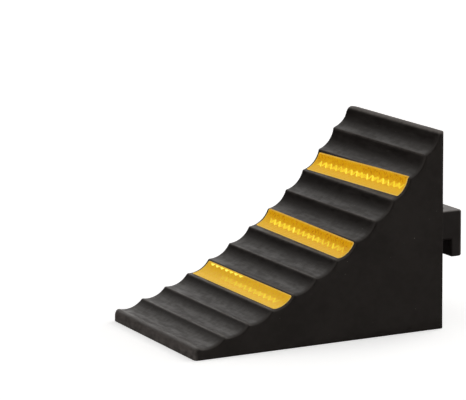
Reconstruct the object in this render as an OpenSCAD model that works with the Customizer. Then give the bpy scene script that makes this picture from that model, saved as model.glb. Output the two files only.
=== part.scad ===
// Wheel chock: a solid rubber wedge with a scalloped, tyre-shaped ramp, three
// reflective tape strips and a rubber-covered U handle bolted to its back.
// Millimetres. +X runs from the toe to the back, +Z is up, and the origin is
// the centre of the wedge's flat base. The shape is the same on both sides of Y = 0.

/* [Wedge] */
// Length of the wedge from the toe to its back face
body_length = 292; // [286:1:300]
// Width of the wedge
body_width = 200; // [200:1:230]
// Height of the wedge's ridge
body_height = 213; // [206:1:220]
// Height of the blunt toe
toe_height = 12.6; // [11:0.1:14]
// Distance from the toe's face to the middle of its rounded top
toe_crest_x = 7; // [6:0.1:8]
// Radius of the vertical corners at the toe
toe_corner_r = 5; // [2:0.5:8]
// Radius of the vertical corners at the back
back_corner_r = 1.5; // [0.5:0.5:3]

/* [Ramp] */
// Radius of the tyre that the ramp's crests follow
ramp_r = 500; // [450:10:600]
// Number of scallops from the toe to the top
scallop_count = 12; // [10:1:14]
// Depth of each scallop below its crests
scallop_depth = 3.8; // [3:0.1:4.5]
// Radius of the rounded crests
crest_r = 2.5; // [2:0.1:3]
// Radius of the rounded ridge at the top, which the back face cuts off
ridge_r = 8.5; // [4:0.5:10]
// Radius of the rounded edge between the ramp and each side
edge_r = 4; // [2:0.5:5]

/* [Base tread] */
// Number of grooves across the base, an even number
groove_count = 10; // [2:2:10]
// Width of a groove
groove_w = 7; // [4:1:10]
// Depth of a groove
groove_d = 2.5; // [1:0.5:4]
// Length of a groove, from round end to round end
groove_l = 160; // [100:1:170]
// Distance between grooves
groove_pitch = 25; // [20:1:26]

/* [Reflective strips] */
// Width of the tape, measured along its curve
tape_w = 25; // [20:0.5:25]
// Length of the tape
tape_l = 192; // [150:1:192]
// Thickness of the reflective film
film_t = 0.4; // [0.3:0.1:0.6]
// Thickness of the adhesive layer under the film
adhesive_t = 0.2; // [0.2:0.1:0.4]
// Scallop that carries the lower strip, counted from the toe
lower_scallop = 4; // [2:1:5]
// Scallop that carries the middle strip
middle_scallop = 7; // [6:1:8]
// Scallop that carries the upper strip
upper_scallop = 10; // [9:1:10]
// Slant of the lower strip in degrees
lower_slant = 0.2; // [-0.8:0.1:0.8]
// Slant of the middle strip
middle_slant = 0.7; // [-0.8:0.1:0.8]
// Slant of the upper strip
upper_slant = -0.8; // [-0.8:0.1:0.8]

/* [Handle] */
// Width of the handle over its arms
handle_w = 130; // [120:1:140]
// Distance from the wedge's back face to the outside of the crossbar
handle_reach = 45; // [42:1:60]
// Thickness of the rubber arms and crossbar
handle_t = 14; // [12:1:16]
// Height of the handle's top above the ground
handle_top = 118; // [110:1:150]
// Height of the arms, from top to bottom
arm_h = 31.5; // [28:0.5:36]
// Height of the crossbar, from top to bottom
bar_h = 50.5; // [40:0.5:60]
// Radius of the handle's upright outer corners
handle_corner_r = 4; // [2:1:6]
// Radius of the handle's upright inner corners
handle_inner_r = 5; // [2:1:8]

/* [Steel core and fasteners] */
// Thickness of the steel strap inside the handle
core_t = 4; // [3:1:5]
// Height of the strap
core_h = 22; // [18:1:24]
// Inside radius of the strap's bends
core_bend_r = 3; // [2:1:3]
// Height of the foot plates
foot_h = 48; // [44:1:52]
// Distance from the middle of the wedge to the outer edge of each foot plate
foot_reach = 84; // [82:1:88]
// Distance from the middle of the wedge to the bolts
bolt_y = 74; // [73:1:75]
// Upright distance between the two bolts of a foot
bolt_pitch = 28; // [24:1:32]
// Thread diameter of the bolts
bolt_d = 6; // [5:1:6]
// Length of the bolts under the head
bolt_l = 25; // [22:1:30]

/* [Hidden] */
$fn = 96;
eps = 0.01;
over = 2;
half_l = body_length / 2;
half_w = body_width / 2;

// The middles of the crest rounds lie on one arc, from the toe to the top.
orbit_r = ramp_r + crest_r;
first_crest = [toe_crest_x, toe_height - crest_r];
last_crest = [body_length - crest_r, body_height - crest_r];
chord = last_crest - first_crest;
chord_l = norm(chord);
chord_rise = sqrt(orbit_r ^ 2 - chord_l ^ 2 / 4);
arc_centre = (first_crest + last_crest) / 2
  + chord_rise * [-chord.y, chord.x] / chord_l;
first_angle = atan2(first_crest.x - arc_centre.x, arc_centre.y - first_crest.y);
pitch_angle = 2 * asin(chord_l / 2 / orbit_r) / scallop_count;

// Overlap that makes rounds which only touch into one solid
weld = 0.02;

// Radius of a scallop that touches both of its crest rounds and has the
// stated depth, and the radius that is cut.
floor_r = ramp_r + scallop_depth;
touch_r = (orbit_r ^ 2 + floor_r ^ 2
  - 2 * orbit_r * floor_r * cos(pitch_angle / 2) - crest_r ^ 2)
  / (2 * (crest_r + floor_r - orbit_r * cos(pitch_angle / 2)));
scallop_r = touch_r + weld;

function on_arc(r, angle) = arc_centre + r * [sin(angle), -cos(angle)];
function crest_angle(i) = first_angle + i * pitch_angle;
function crest_centre(i) = on_arc(orbit_r, crest_angle(i));
// Scallop i lies between crests i - 1 and i.
function scallop_angle(i) = crest_angle(i - 0.5);
function scallop_centre(i) = on_arc(floor_r - touch_r, scallop_angle(i));
function toward(a, b) = (b - a) / norm(b - a);
// Point where scallop i meets the round of crest j, just inside both.
function touch(i, j) = scallop_centre(i)
  + (touch_r + weld / 2) * toward(scallop_centre(i), crest_centre(j));

// The toe's round touches the first scallop and the toe's upright face.
toe_way = toward(scallop_centre(1), crest_centre(0));
toe_r = (scallop_centre(1).x + touch_r * toe_way.x) / (1 - toe_way.x);
toe_centre = scallop_centre(1) + (touch_r + toe_r) * toe_way;

// The ridge's round touches the last scallop and reaches the full height.
last_scallop = scallop_centre(scallop_count);
ridge_z = body_height - ridge_r;
ridge_centre = [
  last_scallop.x + sqrt((touch_r + ridge_r) ^ 2 - (ridge_z - last_scallop.y) ^ 2),
  ridge_z
];
ridge_touch = last_scallop
  + (touch_r + weld / 2) * toward(last_scallop, ridge_centre);

// Handle heights and the places of its parts, from the wedge's back face
arm_z = handle_top - arm_h / 2;
bar_inner_x = handle_reach - handle_t;
core_y = handle_w / 2 - handle_t / 2 - core_t / 2;
core_x = handle_reach - handle_t / 2 - core_t / 2;
washer_t = 1.6;
washer_d = 12;
washer_hole_d = 6.4;
foot_hole_d = 7;
foot_corner_r = 5;
head_af = 10;
head_h = 4;
insert_d = 10;
insert_l = 18;
insert_base_af = 15;
insert_base_t = 4;
black_rubber = [0.10, 0.10, 0.10];
grip_rubber = [0.12, 0.12, 0.12];
film_yellow = [0.88, 0.66, 0.08];
adhesive_cream = [0.85, 0.80, 0.62];
black_steel = [0.20, 0.20, 0.21];
zinc = [0.72, 0.73, 0.74];

// Puts a shape drawn in X and Z, with the toe at X = 0, across the width w.
module across(w) {
  translate([-half_l, w / 2, 0])
    rotate([90, 0, 0])
      linear_extrude(height = w)
        children();
}

// The wedge before its scallops are cut: straight faces join the lines where
// the rounds touch, and the toe, crest and ridge rounds stand on them.
module wedge_blank() {
  across(body_width)
    polygon(concat(
      [[0, 0], [0, toe_centre.y], touch(1, 0)],
      [for (i = [1:scallop_count - 1]) for (side = [0, 1]) touch(i + side, i)],
      [ridge_touch, [body_length, ridge_z], [body_length, 0]]
    ));
  round_bar(toe_centre - [weld, 0], toe_r);
  for (i = [1:scallop_count - 1])
    round_bar(crest_centre(i), crest_r);
  round_bar(ridge_centre, ridge_r);
}

// Round bar across the wedge, placed by its middle in the side view.
module round_bar(middle, r) {
  across(body_width)
    translate(middle)
      circle(r = r);
}

// Cutter for scallop i: a cylinder that flares at both ends, so that it rounds
// the edge between the ramp and each side.
module scallop_cutter(i) {
  middle = scallop_centre(i);
  flare_y = half_w - edge_r;
  translate([middle.x - half_l, 0, middle.y])
    rotate([90, 0, 0])
      rotate_extrude() {
        translate([0, -half_w - over])
          square([scallop_r, body_width + 2 * over]);
        for (side = [0, 1])
          mirror([0, side])
            difference() {
              translate([0, flare_y])
                square([scallop_r + edge_r, edge_r + over]);
              translate([scallop_r + edge_r, flare_y])
                circle(r = edge_r);
            }
      }
}

// Plan view of the wedge with its upright corners rounded.
module plan_outline() {
  difference() {
    translate([-half_l, -half_w])
      square([body_length, body_width]);
    for (side = [-1, 1]) {
      corner_waste(-half_l, side, toe_corner_r, -1);
      corner_waste(half_l, side, back_corner_r, 1);
    }
  }
}

// What a round of radius r takes off a corner of the plan view.
module corner_waste(x, side, r, way) {
  difference() {
    translate([x - way * r / 2 + way * over / 2, side * (half_w - r / 2 + over / 2)])
      square([r + over, r + over], center = true);
    translate([x - way * r, side * (half_w - r)])
      circle(r = r);
  }
}

// Round-ended groove across the base.
module groove() {
  straight = groove_l - groove_w;
  translate([0, 0, groove_d / 2 - over / 2])
    cube([groove_w, straight, groove_d + over], center = true);
  for (side = [-1, 1])
    translate([0, side * straight / 2, -over])
      cylinder(d = groove_w, h = groove_d + over);
}

// Places its children at the four handle bolts, with +Z along world +X and
// the origin on the wedge's back face.
module at_bolts() {
  for (side = [-1, 1])
    for (level = [-1, 1])
      translate([half_l, side * bolt_y, arm_z + level * bolt_pitch / 2])
        rotate([0, 90, 0])
          children();
}

// Outer shape of a moulded-in threaded insert, its mouth on the back face.
module insert_shape() {
  translate([0, 0, -insert_l])
    cylinder(d = insert_d, h = insert_l);
  translate([0, 0, -insert_l])
    cylinder(d = insert_base_af / cos(30), h = insert_base_t, $fn = 6);
}

module rubber_wedge() {
  color(black_rubber)
    difference() {
      intersection() {
        wedge_blank();
        linear_extrude(height = body_height + over)
          plan_outline();
      }
      for (i = [1:scallop_count])
        scallop_cutter(i);
      for (i = [0:groove_count - 1])
        translate([(i - (groove_count - 1) / 2) * groove_pitch, 0, 0])
          groove();
      at_bolts()
        insert_shape();
      at_bolts()
        translate([0, 0, -bolt_l])
          cylinder(d = bolt_d, h = bolt_l);
    }
}

// Thin curved layer in scallop i, from depth t0 to t1 above the rubber, cut to
// the tape's outline. The outline slants about the scallop's middle.
module tape_layer(i, slant, t0, t1) {
  half_angle = tape_w / 2 / scallop_r * 180 / PI;
  flat_w = 2 * scallop_r * sin(half_angle);
  middle = scallop_centre(i);
  intersection() {
    across(tape_l + over)
      translate(middle)
        difference() {
          circle(r = scallop_r - t0);
          circle(r = scallop_r - t1);
        }
    translate([middle.x - half_l, 0, middle.y])
      rotate([0, 180 - scallop_angle(i), 0])
        rotate([0, 0, slant])
          linear_extrude(height = scallop_r + over)
            tape_outline(flat_w);
  }
}

// Tape outline with small round corners.
module tape_outline(w) {
  r = 2;
  square([w - 2 * r, tape_l], center = true);
  square([w, tape_l - 2 * r], center = true);
  for (sx = [-1, 1])
    for (sy = [-1, 1])
      translate([sx * (w / 2 - r), sy * (tape_l / 2 - r)])
        circle(r = r);
}

module strip_adhesive(i, slant) {
  color(adhesive_cream)
    tape_layer(i, slant, 0, adhesive_t);
}

module strip_film(i, slant) {
  color(film_yellow)
    tape_layer(i, slant, adhesive_t, adhesive_t + film_t);
}

module lower_strip_adhesive() {
  strip_adhesive(lower_scallop, lower_slant);
}

module lower_strip_film() {
  strip_film(lower_scallop, lower_slant);
}

module middle_strip_adhesive() {
  strip_adhesive(middle_scallop, middle_slant);
}

module middle_strip_film() {
  strip_film(middle_scallop, middle_slant);
}

module upper_strip_adhesive() {
  strip_adhesive(upper_scallop, upper_slant);
}

module upper_strip_film() {
  strip_film(upper_scallop, upper_slant);
}

// Quarter ring between radii r0 and r1, in the quadrant given by qx and qy.
module quarter_ring(r0, r1, qx, qy) {
  intersection() {
    difference() {
      circle(r = r1);
      circle(r = r0);
    }
    translate([qx * r1 / 2, qy * r1 / 2])
      square(r1, center = true);
  }
}

// Plan view of one half of the strap, from the middle of the crossbar round to
// the foot. X is measured from the wedge's back face.
module core_half() {
  bend = core_bend_r + core_t;
  outer_y = core_y + core_t;
  translate([core_x, 0])
    square([core_t, outer_y - bend]);
  translate([core_x + core_t - bend, outer_y - bend])
    quarter_ring(core_bend_r, bend, 1, 1);
  translate([bend, core_y])
    square([core_x + core_t - 2 * bend, core_t]);
  translate([bend, core_y + bend])
    quarter_ring(core_bend_r, bend, -1, -1);
  translate([0, core_y + bend])
    square([core_t, foot_reach - core_y - bend]);
}

// The whole strap, a hat shape bent from flat steel.
module core_strap() {
  translate([half_l, 0, arm_z - core_h / 2])
    linear_extrude(height = core_h) {
      core_half();
      mirror([0, 1])
        core_half();
    }
}

// Foot plate with rounded corners, flat against the wedge.
module foot_plate(side) {
  inner_y = core_y + core_bend_r + core_t;
  plate_w = foot_reach - inner_y;
  r = foot_corner_r;
  translate([half_l, side * (inner_y + plate_w / 2), arm_z])
    rotate([90, 0, 90])
      linear_extrude(height = core_t) {
        square([plate_w - 2 * r, foot_h], center = true);
        square([plate_w, foot_h - 2 * r], center = true);
        for (sx = [-1, 1])
          for (sy = [-1, 1])
            translate([sx * (plate_w / 2 - r), sy * (foot_h / 2 - r)])
              circle(r = r);
      }
}

module handle_core() {
  color(black_steel)
    difference() {
      union() {
        core_strap();
        for (side = [-1, 1])
          foot_plate(side);
      }
      at_bolts()
        translate([0, 0, -eps])
          cylinder(d = foot_hole_d, h = core_t + 2 * eps);
    }
}

// Plan view of the U: the arms start just clear of the foot plates.
module grip_outline() {
  r = handle_corner_r;
  ri = handle_inner_r;
  inner_w = handle_w - 2 * handle_t;
  difference() {
    union() {
      translate([core_t, -handle_w / 2])
        square([handle_reach - core_t - r, handle_w]);
      translate([core_t, -handle_w / 2 + r])
        square([handle_reach - core_t, handle_w - 2 * r]);
      for (side = [-1, 1])
        translate([handle_reach - r, side * (handle_w / 2 - r)])
          circle(r = r);
    }
    translate([-over, -inner_w / 2])
      square([bar_inner_x + over - ri, inner_w]);
    translate([-over, -inner_w / 2 + ri])
      square([bar_inner_x + over, inner_w - 2 * ri]);
    for (side = [-1, 1])
      translate([bar_inner_x - ri, side * (inner_w / 2 - ri)])
        circle(r = ri);
  }
}

module handle_grip() {
  drop = bar_h - arm_h;
  color(grip_rubber)
    difference() {
      translate([half_l, 0, handle_top - bar_h])
        linear_extrude(height = bar_h)
          grip_outline();
      translate([half_l - over, -handle_w / 2 - over, handle_top - bar_h - over])
        cube([bar_inner_x + over, handle_w + 2 * over, drop + over]);
      core_strap();
    }
}

module handle_bolts() {
  seat = core_t + washer_t;
  color(zinc)
    at_bolts() {
      translate([0, 0, seat - bolt_l])
        cylinder(d = bolt_d, h = bolt_l);
      translate([0, 0, seat])
        cylinder(d = head_af / cos(30), h = head_h, $fn = 6);
    }
}

module handle_washers() {
  color(zinc)
    at_bolts()
      translate([0, 0, core_t])
        difference() {
          cylinder(d = washer_d, h = washer_t);
          translate([0, 0, -eps])
            cylinder(d = washer_hole_d, h = washer_t + 2 * eps);
        }
}

module threaded_inserts() {
  color(zinc)
    at_bolts()
      difference() {
        insert_shape();
        translate([0, 0, -insert_l - eps])
          cylinder(d = bolt_d, h = insert_l + 2 * eps);
      }
}

rubber_wedge();
lower_strip_adhesive();
lower_strip_film();
middle_strip_adhesive();
middle_strip_film();
upper_strip_adhesive();
upper_strip_film();
handle_grip();
handle_core();
handle_bolts();
handle_washers();
threaded_inserts();
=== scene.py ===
"""A wheel chock: a solid rubber wedge with a scalloped ramp, three strips of
reflective tape and a rubber-covered U handle bolted to its back.

Shapes are worked out in millimetres in the CAD frame, with +X from the toe to
the back and +Z up, and turned into metres as each piece is made.
"""

import math
import random
from collections import namedtuple

import bmesh
import bpy
import numpy as np
from mathutils import Matrix, Vector, noise


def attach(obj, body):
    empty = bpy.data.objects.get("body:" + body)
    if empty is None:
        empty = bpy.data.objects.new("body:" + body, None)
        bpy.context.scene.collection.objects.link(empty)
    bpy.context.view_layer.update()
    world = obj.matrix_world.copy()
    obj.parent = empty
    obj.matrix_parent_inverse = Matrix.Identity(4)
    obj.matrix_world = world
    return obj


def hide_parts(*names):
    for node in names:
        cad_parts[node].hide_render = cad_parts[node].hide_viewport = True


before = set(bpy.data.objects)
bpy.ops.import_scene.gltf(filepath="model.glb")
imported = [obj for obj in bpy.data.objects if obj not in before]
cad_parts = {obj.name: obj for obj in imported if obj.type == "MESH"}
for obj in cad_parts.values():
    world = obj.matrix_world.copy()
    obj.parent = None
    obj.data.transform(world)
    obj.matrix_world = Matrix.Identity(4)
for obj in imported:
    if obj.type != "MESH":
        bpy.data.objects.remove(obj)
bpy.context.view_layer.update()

MM = 0.001

# The wedge. The main sizes are the CAD model's, and the small roundings are the
# visible surface's own.
LENGTH = 292.0
WIDTH = 200.0
HEIGHT = 213.0
TOE_HEIGHT = 12.6
TOE_CREST_X = 7.0
TOE_CORNER_R = 5.0
BACK_CORNER_R = 0.8
BASE_EDGE_R = 1.2
RAMP_R = 500.0
SCALLOPS = 12
SCALLOP_DEPTH = 3.8
CREST_R = 2.5
RIDGE_R = 8.5
TOP_EDGE_R = 0.8
# Least radius that a round shrinks to where the surface is inset
LEAST_R = 0.3

# Rounding of the ramp's two long edges, as its width across the ramp and its
# depth at the side face. Near is the -Y side and far the +Y side. The ridge's
# ends are finished differently from the rest of the ramp.
NEAR_EDGE = (6.5, 2.2)
FAR_EDGE = (1.2, 0.35)
NEAR_RIDGE = (3.0, 1.2)
# Width and depth over which the ridge's top falls away at its far end
FAR_RIDGE_FALL = (20.0, 2.4)

# Grooves across the base
GROOVES = 10
GROOVE_W = 7.0
GROOVE_D = 2.5
GROOVE_L = 160.0
GROOVE_PITCH = 25.0

# Tape
TAPE_W = 25.0
TAPE_L = 192.0
ADHESIVE_T = 0.2
FILM_T = 0.4
TAPE_CORNER_R = 2.0

# Handle and fasteners
HANDLE_W = 130.0
HANDLE_REACH = 45.0
HANDLE_T = 14.0
HANDLE_TOP = 118.0
ARM_H = 31.5
BAR_H = 50.5
HANDLE_CORNER_R = 4.0
HANDLE_INNER_R = 5.0
CORE_T = 4.0
CORE_H = 22.0
CORE_BEND_R = 3.0
FOOT_H = 48.0
FOOT_REACH = 84.0
FOOT_CORNER_R = 5.0
FOOT_HOLE_D = 7.0
BOLT_Y = 74.0
BOLT_PITCH = 28.0
BOLT_D = 6.0
BOLT_L = 25.0
INSERT_D = 10.0
INSERT_L = 18.0
INSERT_BASE_AF = 15.0
INSERT_BASE_T = 4.0
HOLE_SLACK = 0.03
HEAD_AF = 10.0
HEAD_H = 4.0
WASHER_D = 12.0
WASHER_HOLE_D = 6.4
WASHER_T = 1.6

BACK_X = LENGTH / 2
SIDE_Y = WIDTH / 2
ARM_Z = HANDLE_TOP - ARM_H / 2


# -------------------- ramp curve

ORBIT_R = RAMP_R + CREST_R
FLOOR_R = RAMP_R + SCALLOP_DEPTH
FIRST_CREST = np.array([TOE_CREST_X, TOE_HEIGHT - CREST_R])
LAST_CREST = np.array([LENGTH - CREST_R, HEIGHT - CREST_R])
CHORD = LAST_CREST - FIRST_CREST
CHORD_L = float(np.hypot(*CHORD))
CHORD_RISE = math.sqrt(ORBIT_R ** 2 - CHORD_L ** 2 / 4)
ARC_CENTRE = (FIRST_CREST + LAST_CREST) / 2 + CHORD_RISE * np.array([-CHORD[1], CHORD[0]]) / CHORD_L
FIRST_ANGLE = math.atan2(FIRST_CREST[0] - ARC_CENTRE[0], ARC_CENTRE[1] - FIRST_CREST[1])
PITCH_ANGLE = 2 * math.asin(CHORD_L / 2 / ORBIT_R) / SCALLOPS
HALF_PITCH = PITCH_ANGLE / 2
TOUCH_R = (ORBIT_R ** 2 + FLOOR_R ** 2 - 2 * ORBIT_R * FLOOR_R * math.cos(HALF_PITCH) - CREST_R ** 2) / (
    2 * (CREST_R + FLOOR_R - ORBIT_R * math.cos(HALF_PITCH)))
SCALLOP_ORBIT = FLOOR_R - TOUCH_R


def on_arc(r, angle):
    """Point at radius r from the middle of the tyre that the ramp fits."""
    return ARC_CENTRE + r * np.array([math.sin(angle), -math.cos(angle)])


def crest_angle(i):
    return FIRST_ANGLE + i * PITCH_ANGLE


def scallop_centre(i):
    return on_arc(SCALLOP_ORBIT, crest_angle(i - 0.5))


def crest_round(i, inset):
    """Middle and radius of crest i where the surface lies inset below the ramp."""
    r = max(CREST_R - inset, LEAST_R)
    reach = TOUCH_R + inset + r
    orbit = SCALLOP_ORBIT * math.cos(HALF_PITCH) + math.sqrt(
        reach ** 2 - (SCALLOP_ORBIT * math.sin(HALF_PITCH)) ** 2)
    return on_arc(orbit, crest_angle(i)), r


def toe_round(inset, toe_inset):
    """Middle and radius of the toe's round, which touches the toe's face and the
    first scallop."""
    middle = scallop_centre(1)
    outer_r = toe_full_radius()
    r = max(outer_r - max(inset, toe_inset), LEAST_R)
    x = toe_inset + r
    reach = TOUCH_R + inset + r
    return np.array([x, middle[1] - math.sqrt(reach ** 2 - (middle[0] - x) ** 2)]), r


def toe_full_radius():
    """Radius of the toe's round where nothing is inset."""
    middle = scallop_centre(1)
    way = on_arc(ORBIT_R, crest_angle(0)) - middle
    way = way / np.hypot(*way)
    return float((middle[0] + TOUCH_R * way[0]) / (1 - way[0]))


def ridge_round(inset):
    """Middle and radius of the ridge's round, which rises from the last scallop
    until the back face cuts it off, a little before its highest point."""
    middle = scallop_centre(SCALLOPS)
    r = max(RIDGE_R - inset, LEAST_R)
    z = HEIGHT - RIDGE_R
    reach = TOUCH_R + inset + r
    return np.array([middle[0] + math.sqrt(reach ** 2 - (z - middle[1]) ** 2), z]), r


def heading(a, b):
    return math.atan2(b[1] - a[1], b[0] - a[0])


def on_circle(middle, r, turn):
    return middle + r * np.array([math.cos(turn), math.sin(turn)])


def arc(middle, r, start, end, steps):
    """Points on an arc, its last point left out."""
    turns = start + (end - start) * np.arange(steps) / steps
    return np.column_stack([middle[0] + r * np.cos(turns), middle[1] + r * np.sin(turns)])


SCALLOP_STEPS = 18
CREST_STEPS = 6
END_STEPS = 8
CORNER_STEPS = 4


def ramp_line(inset, toe_inset, back_inset):
    """The ramp's side view from the top of the toe's face to the top of the back
    face, with X from the toe. Every line has the same number of points."""
    toe, toe_r = toe_round(inset, toe_inset)
    ridge, ridge_r = ridge_round(inset)
    back_x = LENGTH - back_inset - TOP_EDGE_R
    back_turn = math.acos(max(-1.0, min(1.0, (back_x - ridge[0]) / ridge_r)))
    rounds = [(toe, toe_r)] + [crest_round(i, inset) for i in range(1, SCALLOPS)] + [(ridge, ridge_r)]
    scallop_r = TOUCH_R + inset
    parts = []
    for i, (middle, r) in enumerate(rounds):
        start = math.pi if i == 0 else heading(middle, scallop_centre(i))
        end = back_turn if i == SCALLOPS else heading(middle, scallop_centre(i + 1))
        steps = END_STEPS if i in (0, SCALLOPS) else CREST_STEPS
        parts.append(arc(middle, r, start, end, steps))
        if i < SCALLOPS:
            bowl = scallop_centre(i + 1)
            start, end = heading(bowl, middle), heading(bowl, rounds[i + 1][0])
            parts.append(arc(bowl, scallop_r, start, end, SCALLOP_STEPS))
    top = ridge[1] + ridge_r * math.sin(back_turn)
    parts.append(arc((back_x, top - TOP_EDGE_R), TOP_EDGE_R, math.pi / 2, 0, CORNER_STEPS))
    parts.append(np.array([[back_x + TOP_EDGE_R, top - TOP_EDGE_R]]))
    return np.vstack(parts)


def round_off(r, d):
    """How far a rounded edge of radius r lies below the flat at distance d from its end."""
    return 0.0 if d >= r else r - math.sqrt(r * r - (r - d) ** 2)


def ease_off(edge, d):
    """The same for an edge rounded over a width and to a depth that differ."""
    width, depth = edge
    return round_off(width, d) * depth / width


def ramp_inset(y):
    """How far the ramp's rounded long edges lie below its full height at Y."""
    return ease_off(NEAR_EDGE if y < 0 else FAR_EDGE, SIDE_Y - abs(y))


# -------------------- mesh tools

def add_object(name, data):
    made = bpy.data.objects.new(name, data)
    bpy.context.scene.collection.objects.link(made)
    return made


def stand_for(piece, node, material):
    """Puts a finished piece in the place of a CAD node."""
    piece.data.materials.clear()
    piece.data.materials.append(material)
    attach(piece, "root")
    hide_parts(node)


def apply_modifiers(piece):
    graph = bpy.context.evaluated_depsgraph_get()
    mesh = bpy.data.meshes.new_from_object(piece.evaluated_get(graph))
    old = piece.data
    piece.modifiers.clear()
    piece.data = mesh
    bpy.data.meshes.remove(old)


def finish_mesh(piece, sharp_angle=35.0, weld=0.002):
    """Welds the seams between patches, turns faces outward and shades smooth
    except at sharp edges."""
    bm = bmesh.new()
    bm.from_mesh(piece.data)
    bmesh.ops.remove_doubles(bm, verts=bm.verts, dist=weld * MM)
    bmesh.ops.dissolve_degenerate(bm, edges=bm.edges, dist=weld * MM / 2)
    bmesh.ops.recalc_face_normals(bm, faces=bm.faces)
    limit = math.radians(sharp_angle)
    for face in bm.faces:
        face.smooth = True
    for edge in bm.edges:
        edge.smooth = len(edge.link_faces) == 2 and edge.calc_face_angle(0.0) < limit
    bm.to_mesh(piece.data)
    bm.free()


def weigh_normals(piece):
    """Lets large flat faces set the shading of the small ones round them."""
    weighted = piece.modifiers.new("weighted", "WEIGHTED_NORMAL")
    weighted.keep_sharp = True


def combine(piece, tool, operation):
    """Joins the tool to the piece or takes it out, and removes the tool."""
    boolean = piece.modifiers.new("combine", "BOOLEAN")
    boolean.operation = operation
    boolean.solver = "EXACT"
    boolean.object = tool
    bpy.context.view_layer.update()
    apply_modifiers(piece)
    bpy.data.objects.remove(tool)


class Patches:
    """Collects grids of points in millimetres as quads."""

    def __init__(self):
        self.points = []
        self.faces = []

    def grid(self, rows):
        rows = np.asarray(rows, float)
        n, m = rows.shape[:2]
        base = len(self.points)
        self.points.extend(rows.reshape(-1, 3))
        for a in range(n - 1):
            for b in range(m - 1):
                k = base + a * m + b
                self.faces.append((k, k + 1, k + m + 1, k + m))

    def cap(self, outline):
        base = len(self.points)
        self.points.extend(outline)
        self.faces.append(tuple(range(base, base + len(outline))))

    def add(self, name):
        """Makes the object."""
        mesh = bpy.data.meshes.new(name)
        mesh.from_pydata([tuple(float(c) * MM for c in p) for p in self.points], [], self.faces)
        mesh.validate()
        return add_object(name, mesh)


def cut(piece, patches):
    """Takes closed shapes out of the piece."""
    tool = patches.add("cutter")
    finish_mesh(tool)
    combine(piece, tool, "DIFFERENCE")


# -------------------- wedge

WALL_ROWS = 16
CORNER_ROWS = 4
FILLET_STEPS = 12
MIDDLE_STEPS = 30


def section_places():
    """Places of the sections along Y, close together in the rounded edges."""
    reach = max(NEAR_EDGE[0], FAR_RIDGE_FALL[0])
    turns = np.linspace(0, math.pi / 2, FILLET_STEPS + 1)
    rounded = reach * (1 - np.cos(turns))
    middle = np.linspace(-SIDE_Y + reach, SIDE_Y - reach, MIDDLE_STEPS + 1)[1:-1]
    return np.concatenate([-SIDE_Y + rounded, middle, SIDE_Y - rounded[::-1]])


def ridge_share():
    """For each point of a ramp line, how far it has the ridge's own edge rounding."""
    lead = END_STEPS + (SCALLOPS - 1) * (SCALLOP_STEPS + CREST_STEPS)
    tail = END_STEPS + CORNER_STEPS + 1
    rise = np.linspace(0, 1, SCALLOP_STEPS)
    return np.concatenate([np.zeros(lead), rise * rise * (3 - 2 * rise), np.ones(tail)])


def section(y):
    """Outline of the wedge at Y as four lines: base, ramp, toe face and back face."""
    d = SIDE_Y - abs(y)
    toe_inset = round_off(TOE_CORNER_R, d)
    back_inset = round_off(BACK_CORNER_R, d)
    base_z = round_off(BASE_EDGE_R, d)
    corner = BASE_EDGE_R - base_z
    ramp = ramp_line(ramp_inset(y), toe_inset, back_inset)
    share = ridge_share()[:, None]
    if y < 0:
        ramp = ramp * (1 - share) + ramp_line(ease_off(NEAR_RIDGE, d), toe_inset, back_inset) * share
    else:
        ramp = ramp - share * [0.0, ease_off(FAR_RIDGE_FALL, d)]
    first, last = toe_inset + corner, LENGTH - back_inset - corner
    share = (ramp[:, 0] - ramp[0, 0]) / (ramp[-1, 0] - ramp[0, 0])
    base = np.column_stack([first + share * (last - first), np.full(len(ramp), base_z)])
    turns = np.linspace(0, math.pi / 2, CORNER_ROWS + 1)
    drop_in, drop_z = corner * (1 - np.sin(turns)), base_z + corner * (1 - np.cos(turns))

    def wall(x, way, top):
        rows = [(x + way * a, z) for a, z in zip(drop_in, drop_z)]
        rows += [(x, z) for z in np.linspace(BASE_EDGE_R, top, WALL_ROWS + 1)[1:]]
        return np.array(rows)

    return base, ramp, wall(toe_inset, 1, ramp[0, 1]), wall(LENGTH - back_inset, -1, ramp[-1, 1])


def place(line, y):
    """The points of a side-view line at Y, in the CAD frame."""
    return np.column_stack([line[:, 0] - BACK_X, np.full(len(line), y), line[:, 1]])


def wedge_points():
    patches = Patches()
    sections = [(y, section(y)) for y in section_places()]
    for part in range(4):
        patches.grid([place(s[part], y) for y, s in sections])
    for y, (base, ramp, toe_face, back_face) in (sections[0], sections[-1]):
        heights = (toe_face[:, 1] - toe_face[0, 1]) / (toe_face[-1, 1] - toe_face[0, 1])
        columns = [np.column_stack([np.full(len(heights), x), low + heights * (high - low)])
                   for x, low, high in zip(ramp[:, 0], base[:, 1], ramp[:, 1])]
        columns[0], columns[-1] = toe_face, back_face
        patches.grid([place(c, y) for c in columns])
    return patches


def uneven(p, size, seed):
    """Slow unevenness between -1 and 1, with features about size millimetres across."""
    return noise.noise(Vector((p[0] / size + seed, p[1] / size - seed, p[2] / size)))


SAG = 0.16
# The waves of the unevenness, as (share, size in millimetres, seed)
SAG_WAVES = ((0.6, 46, 3.1), (0.4, 17, 8.7))
BASE_BAND = 1.0


def soften(piece):
    """Moves the surface a little along its normals, mostly inward, as cured rubber
    is never quite true. The base and the band next to it stay."""
    bm = bmesh.new()
    bm.from_mesh(piece.data)
    bm.normal_update()
    for v in bm.verts:
        p = v.co / MM
        if p.z > BASE_EDGE_R + BASE_BAND:
            waves = sum(share * uneven(p, size, seed) for share, size, seed in SAG_WAVES)
            v.co += v.normal * SAG * (waves - 0.5) * MM
    bm.to_mesh(piece.data)
    bm.free()


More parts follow.
